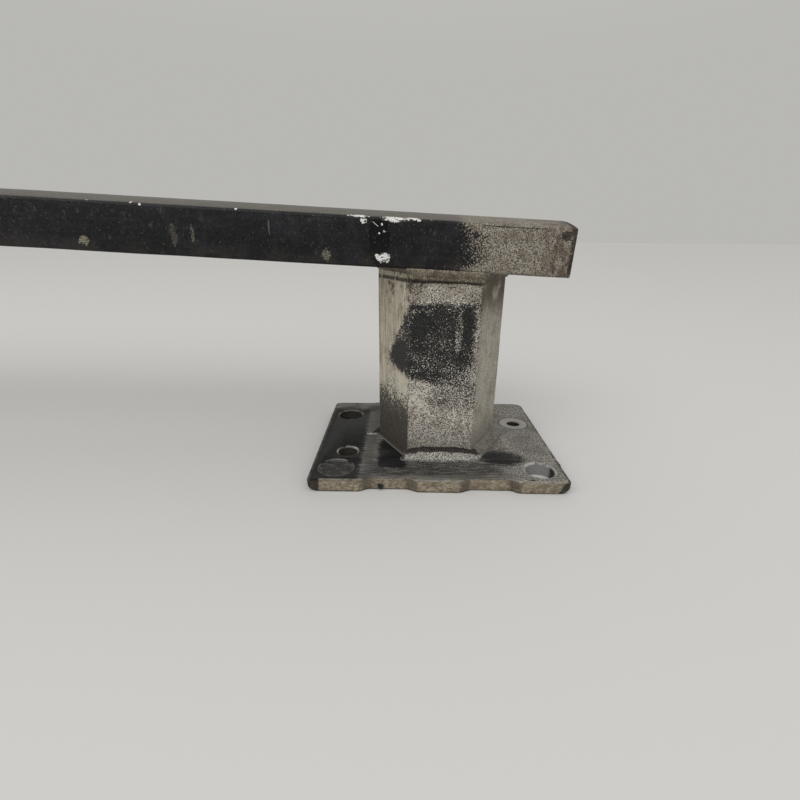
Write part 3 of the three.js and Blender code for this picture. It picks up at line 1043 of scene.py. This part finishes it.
def mark_plate(s, surface):
    """A worn streak, a heat mark, spatter dust, lines along both sides and a dent by the front edge, whose
    shade is painted near black.
    """
    streak = (s.out + s.jitter * 0.25).band(-48.6, -45.4, 3.2) * s.y.fade(62, 40)
    surface = surface.cover(streak * 0.6, s.mix(s.grain.fade(0.3, 0.7), (34, 34, 33), (106, 105, 101)))
    brown_tint = s.blob((46, -17, 9), (9, 9, 20), s.z, 1.6, 5, 73)
    surface = surface.cover(brown_tint * 0.5, (92, 78, 64))
    spatter = s.blob((-47, 0.6, 9), (5, 1.6, 20), s.z, 1.8, 1.6, 74)
    dusting = s.blob((47, -8, 9), (10, 14, 20), s.z, 1.6, 4, 75) * s.specks(0.4, 0.7, seed=25)
    surface = surface.cover(s.most(spatter * 0.9, dusting * 0.55), (200, 198, 190))
    side_line = s.out.fade(82.6, 84) * s.cloud.fade(0.34, 0.5)
    surface = surface.cover(side_line * 0.7, (40, 38, 35))
    inner_line = s.out.fade(-82.4, -84) * s.cloud.fade(0.34, 0.54)
    surface = surface.cover(inner_line * 0.6, (92, 89, 78))
    # Painted shade: a near-black spot stands for the shade in a small dent by the front edge.
    dent_shade = s.blob((61, -67.4, 9), (2.2, 1, 20), s.z, 1, 2, 76)
    return surface.cover(dent_shade * 0.85, (16, 15, 14))


def ring_holes(s, surface):
    """Bright rims round the holes, and the print of a washer round the small one, a shallow spot-face edged
    by a dark ring of painted shade.
    """
    rims = distance_to_hole(s, "plugged").band(-0.2, 0.3, 0.3) * 0.5
    for name, (reach, strength) in RIMS.items():
        rims = s.most(rims, distance_to_hole(s, name).band(-1, reach, 0.3) * strength)
    rims = rims * s.noise(6, 3, seed=29).fade(0.34, 0.54)
    surface = surface.cover(rims * 0.8, s.mix(s.grain, (140, 140, 137), (206, 205, 201)))
    bolt = distance_to_hole(s, "outer_back")
    washer = bolt.fade(WASHER_REACH, WASHER_REACH - 0.6) * s.y.fade(40, 38)
    surface = surface.cover(washer * 0.8, s.mix(s.grain, (132, 130, 125), (186, 184, 178)))
    # Painted shade: a dark ring stands for the shaded wall round the shallow spot-face.
    return surface.cover(bolt.band(WASHER_REACH - 0.2, WASHER_REACH + 0.3, 0.4) * 0.7, (44, 41, 38))


def plate_cut_edges(s, end_dark):
    """Raw and beige in front, darker at the middle of each scallop's ramp and with painted shade along the
    bottom, dark on the corners and the other sides, and the outer front hole's wall painted light grey as if
    lit, except its right part, which keeps the dark side colour as painted shadow.
    """
    lumps = s.noise(1.5, 3, stretch=(1.6, 1, 1), seed=27)
    raw = s.mix(lumps.fade(0.32, 0.68), (112, 103, 89), (162, 152, 134))
    raw = raw.cover(s.cloud.fade(0.44, 0.64) * 0.6, (104, 93, 79))
    raw = raw.cover(s.specks(0.24, 0.75, seed=28) * 0.6, (66, 59, 50))
    # Darker at the middle of each scallop's ramp.
    for middle in SCALLOP_RAMP_MARKS:
        run = (s.out + s.jitter * 0.3).band(middle - 2, middle + 2, 3)
        raw = raw.cover(run * 0.6, (60, 54, 48))
    # Painted shade: the cut edges are darkened along the bottom, where the plate meets the floor.
    raw = raw.cover(s.z.fade(1.2, 0.4) * 0.8, (44, 39, 35))
    side = raw.cover(end_dark * 0.92, s.mix(s.grain.fade(0.4, 0.66), (28, 26, 25), (72, 67, 62)))
    # Painted light and shadow: the outer front hole's wall is painted light grey as if lit, except its right
    # part, which keeps the dark side colour as painted shadow.
    painted_lit_bore = distance_to_hole(s, "outer_front").fade(1.6, 1.2) * (s.out + s.y * -0.5).fade(103, 100.5)
    return side.cover(painted_lit_bore, s.mix(s.grain, (104, 104, 104), (168, 168, 168)))


def plate_material():
    """Black paint worn to grey in bands and patches, bare front edge and bright hole rims."""
    s = Shader("plate_worn_paint", 0.14)
    s.grain = s.noise(0.75, 2, seed=4)
    s.broad = s.noise(16, 3, seed=6)
    s.cloud = s.noise(6, 4, seed=16)
    s.brushed = s.noise(1.1, 3, stretch=(9, 1, 1), seed=8)
    s.jitter = (s.cloud - 0.5) * 10
    painted = plate_painted(s)
    paint = s.mix(s.grain.fade(0.34, 0.66), (8, 8, 9), (36, 35, 36))
    paint = paint.cover(s.brushed.fade(0.5, 0.7) * 0.4, (48, 47, 47))
    surface = ring_holes(s, mark_plate(s, plate_grey(s).cover(painted, paint)))

    end_dark = s.most(
        s.out.fade(-76.8, -78),
        (s.out + s.z * -0.45).fade(76.5, 78.5),
        s.y.fade(-65.5, -63),
    )
    top = s.z.fade(7.6, 8.5)
    colour = s.mix(top, plate_cut_edges(s, end_dark), surface)
    # Painted highlight: the front top edge is lightened, partly edge wear and partly the light that the edge
    # catches.
    edge_wear_and_highlight = s.z.band(8.3, 9.2, 0.3) * s.y.fade(-67.6, -68.6) * s.cloud.fade(0.3, 0.55) * (1 - end_dark)
    colour = colour.cover(edge_wear_and_highlight * 0.5, (166, 158, 146))
    gloss = painted * top
    s.bump(painted * 0.6 + s.grain * 0.6 + s.brushed * 0.4, 0.1)
    return s.finish(colour, s.blend(gloss, 0.62, s.blend(s.broad, 0.42, 0.56)), (1 - gloss) * 0.2)


# ---- other materials

def low_weld(s, front):
    """On the plate: the front run is a speckled lens under an arched line of soot; the inner runs are dark
    with a painted highlight along their toe.
    """
    off_middle = (s.out - 3) * (1 / 26)
    arch = 14.6 - off_middle * off_middle * 2.6
    above = s.z - (arch + (s.cloud - 0.5) * 1.6)
    bright = s.mix(s.specks(0.55, 0.7, seed=3, sharp=0.06), (58, 57, 55), (176, 173, 166))
    bright = bright.cover(s.z.fade(11.4, 9.4) * 0.5, (70, 68, 66))
    soot = s.mix(s.grain.fade(0.35, 0.65), (22, 20, 19), (62, 57, 53))
    front_run = bright.cover(above.fade(-0.5, 0.6), soot)
    plain_run = s.mix(s.grain.fade(0.34, 0.66), (84, 81, 76), (146, 142, 134))
    plain_run = plain_run.cover(s.cloud.fade(0.45, 0.62) * 0.4, (82, 75, 66))
    # Painted highlight: a light line along the toe of the inner runs.
    inner_run_with_highlight = s.mix(s.z.fade(9.4, 10.2), (112, 110, 105), (62, 57, 52))
    return s.mix(s.out.fade(-21, -23), s.mix(front, plain_run, front_run), inner_run_with_highlight)


def high_weld(s, front):
    """Under the beam: olive, brown in places, darker off the front facet as painted shade, and dark along
    the run's lower side, partly soot and partly painted shadow.
    """
    run = s.mix(s.grain.fade(0.34, 0.66), (84, 76, 64), (152, 144, 128))
    run = run.cover(s.cloud.fade(0.46, 0.62) * 0.6, (80, 63, 46))
    run = run.cover(s.specks(0.26, 0.7, seed=8) * 0.8, (40, 34, 28))
    # Painted shade: runs off the front facet are darkened.
    run = run.cover((1 - front) * 0.45, (70, 60, 48))
    # Painted shadow: the run's lower side is darkened, partly soot.
    return run.cover(height_above_underside(s).fade(-5, -6.4) * 0.85, (36, 28, 21))


def weld_material():
    """Grainy weld metal: sooty above a bright toe on the plate, olive and brown under the beam."""
    s = Shader("weld_metal", 0.3)
    s.grain = s.noise(0.75, 2, seed=4)
    s.cloud = s.noise(5, 3, seed=6)
    front = s.y.fade(-36, -37)
    colour = s.mix(s.z.fade(60, 80), low_weld(s, front), high_weld(s, front))
    s.bump(s.grain + s.cloud * 0.6, 0.2)
    return s.finish(colour, s.blend(s.grain, 0.45, 0.68), 0.3)


def plug_material():
    """Rough dark filling with lighter smears and a paler rim."""
    s = Shader("plug_filling", 0.2)
    grain = s.noise(0.9, 3, seed=4)
    cloud = s.noise(3.6, 4, stretch=(2, 1, 1), seed=7)
    colour = s.mix(grain.fade(0.35, 0.66), (34, 32, 32), (74, 71, 69))
    colour = colour.cover(cloud.fade(0.48, 0.64) * 0.6, (98, 95, 92))
    edge = distance_to_hole(s, "plugged").band(-1.6, -0.6, 0.4)
    colour = colour.cover(edge * cloud.fade(0.36, 0.56) * 0.6, (100, 98, 95))
    s.bump(grain + cloud, 0.25)
    return s.finish(colour, s.blend(grain, 0.5, 0.78), 0.1)


def crumb_material():
    """Crumbly black sealant."""
    s = Shader("black_sealant", 0.5)
    grain = s.noise(0.5, 3, seed=2)
    s.bump(grain, 0.2)
    return s.finish(s.mix(grain.fade(0.4, 0.7), (14, 14, 14), (52, 50, 48)), 0.8, 0)


# ---- stage

WALL_LIGHT = (0.48, 0.476, 0.456, 1)
CEILING_LIGHT = (0.8, 0.795, 0.775, 1)
FRONT_LIGHT = (0.9, 0.892, 0.87, 1)
FLOOR_COLOUR = (0.66, 0.656, 0.642, 1)


def build_floor():
    """Plain pale floor."""
    reach = 8
    mesh = bpy.data.meshes.new("floor")
    corners = [(-reach, -reach, 0), (reach, -reach, 0), (reach, reach, 0), (-reach, reach, 0)]
    mesh.from_pydata(corners, [], [(0, 1, 2, 3)])
    mesh.materials.append(Shader("pale_floor", 0.2).finish(FLOOR_COLOUR, 0.6, 0))
    floor = add_object("floor", mesh)


def build_surround():
    """Soft light from all round: grey at the sides, brighter overhead and brightest from the front."""
    world = bpy.data.worlds.new("surround")
    bpy.context.scene.world = world
    world.use_nodes = True
    w = Nodes(world.node_tree)
    _, ahead, up = w.split(w.new("TexCoord").outputs["Generated"])
    front = ahead.fade(0.45, -0.55) * up.fade(0.02, 0.5)
    sky = w.mix(up.fade(0.25, 1), WALL_LIGHT, CEILING_LIGHT)
    w.feed(w.tree.nodes["Background"].inputs["Color"], w.mix(front, sky, FRONT_LIGHT))


def build_softbox():
    """A large soft lamp high in front, to the left of the right foot."""
    location = Vector((FOOT_X - 0.9, -1.6, 1.7))
    light = bpy.data.lights.new("key", "AREA")
    light.shape = "DISK"
    light.size = 2
    light.energy = 18
    lamp = add_object("key", light)
    lamp.location = location
    lamp.rotation_euler = (Vector((FOOT_X, 0, 0)) - location).to_track_quat("-Z", "Y").to_euler()


def build_camera():
    """Camera low in front of the right foot, level with the beam and looking down at the plate."""
    yaw, pitch, roll = math.radians(0.36), math.radians(20.71), math.radians(-0.58)
    right = Vector((math.cos(yaw), math.sin(yaw), 0))
    ahead = Vector((-math.sin(yaw), math.cos(yaw), 0))
    forward = math.cos(pitch) * ahead - math.sin(pitch) * Vector((0, 0, 1))
    down = -math.sin(pitch) * ahead - math.cos(pitch) * Vector((0, 0, 1))
    across = math.cos(roll) * right + math.sin(roll) * down
    below = -math.sin(roll) * right + math.cos(roll) * down
    camera = bpy.data.cameras.new("camera")
    camera.sensor_width = 36
    camera.lens = 20.11
    camera.clip_start = 0.01
    eye = add_object("camera", camera)
    axes = Matrix((across, -below, -forward)).transposed()
    eye.matrix_world = Matrix.Translation((FOOT_X - 0.0239, -0.3191, 0.15845)) @ axes.to_4x4()
    bpy.context.scene.camera = eye


# ---- assembly

bpy.context.scene.view_settings.view_transform = "Standard"
build_camera()
build_floor()
build_surround()
build_softbox()

paint = beam_material()
can_finish = can_material()
plate_paint = plate_material()
weld_metal = weld_material()
filling = plug_material()

build_beam(paint)
for side in SIDES:
    build_can(side, can_finish)
    build_plate(side, plate_paint)
    build_plug(side, filling)
    for facet, size in PLATE_WELDS.items():
        build_weld(side, facet, "plate", size, weld_metal)
    for facet, size in BEAM_WELDS.items():
        build_weld(side, facet, "beam", size, weld_metal)
    build_spatter(side, weld_metal)
build_crumb(crumb_material())
